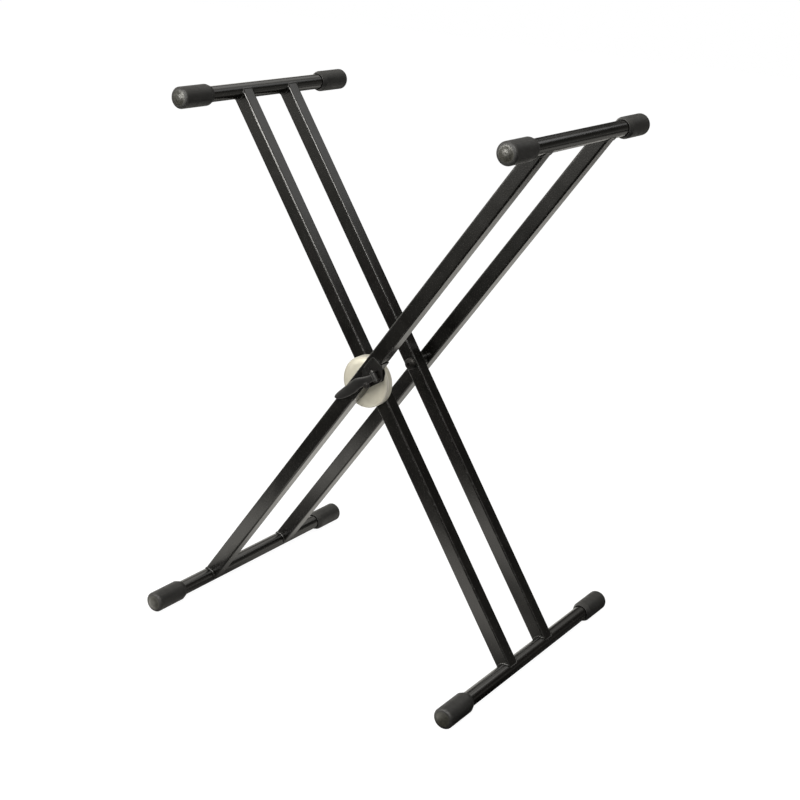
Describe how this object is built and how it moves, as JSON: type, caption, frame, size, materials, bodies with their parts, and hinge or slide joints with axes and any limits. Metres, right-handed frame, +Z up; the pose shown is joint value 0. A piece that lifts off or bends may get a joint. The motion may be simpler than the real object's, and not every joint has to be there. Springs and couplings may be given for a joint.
{
  "type": "keyboard stand",
  "caption": "Folding X-frame keyboard stand of double square steel tubes with round bars, rubber end caps and a clutch-disc height lock with a trigger lever.",
  "frame": {"origin": "centre of the stand on the floor, under the pivot axis", "axes": "+Z up, +Y along the pivot axis and the bars, away from the lock lever; +X towards the outer frame's top bar"},
  "size_m": [0.6224, 0.528, 0.8898],
  "materials": {
    "frame_enamel": "gloss black enamel",
    "cap_rubber": "matt black rubber",
    "disc_nickel": "satin nickel",
    "black_zinc": "black zinc plated",
    "nylon": "natural nylon",
    "lever_black": "semi-gloss black on a casting",
    "spring_steel": "bright spring wire"
  },
  "bodies": {
    "outer_frame": {"outer_leg_near": "frame_enamel", "outer_leg_far": "frame_enamel", "outer_top_bar": "frame_enamel", "outer_foot_bar": "frame_enamel", "outer_top_cap_near": "cap_rubber", "outer_top_cap_far": "cap_rubber", "outer_foot_cap_near": "cap_rubber", "outer_foot_cap_far": "cap_rubber", "front_clutch_disc": "disc_nickel", "lock_bracket": "frame_enamel", "lever_hinge_pin": "black_zinc", "hinge_pin_clip": "spring_steel", "near_pivot_bolt": "black_zinc", "near_head_washer": "black_zinc", "near_nut_washer": "black_zinc", "near_lock_nut": "black_zinc", "far_pivot_bolt": "black_zinc", "far_head_washer": "black_zinc", "far_nut_washer": "black_zinc", "far_lock_nut": "black_zinc", "far_spacer": "frame_enamel", "lock_spring": "spring_steel"},
    "inner_frame": {"inner_leg_near": "frame_enamel", "inner_leg_far": "frame_enamel", "inner_top_bar": "frame_enamel", "inner_foot_bar": "frame_enamel", "inner_top_cap_near": "cap_rubber", "inner_top_cap_far": "cap_rubber", "inner_foot_cap_near": "cap_rubber", "inner_foot_cap_far": "cap_rubber", "rear_clutch_disc": "disc_nickel", "clutch_washer": "nylon"},
    "trigger": {"lock_lever": "lever_black"},
    "plunger": {"lock_pin": "black_zinc", "spring_collar": "black_zinc"}
  },
  "joints": [
    {"name": "frame_fold", "type": "hinge", "parent": "outer_frame", "child": "inner_frame", "pos_m": [0, 0, 0.44492], "axis": [0, 1, 0], "range_deg": [-46.5, 64.5]},
    {"name": "lever_pull", "type": "hinge", "parent": "outer_frame", "child": "trigger", "pos_m": [0.04438, -0.1282, 0.47507], "axis": [-0.5809, 0, 0.814], "range_deg": [0, 12], "stiffness_Nm_per_rad": 0.255, "springref_deg": -13.92},
    {"name": "lock_pin_slide", "type": "slide", "parent": "outer_frame", "child": "plunger", "axis": [0, -1, 0], "range_m": [0, 0.0048], "deforming": ["lock_spring"]}
  ],
  "couplings": [
    {"joint": "lock_pin_slide", "follows": "lever_pull", "m_per_rad": 0.0222}
  ]
}
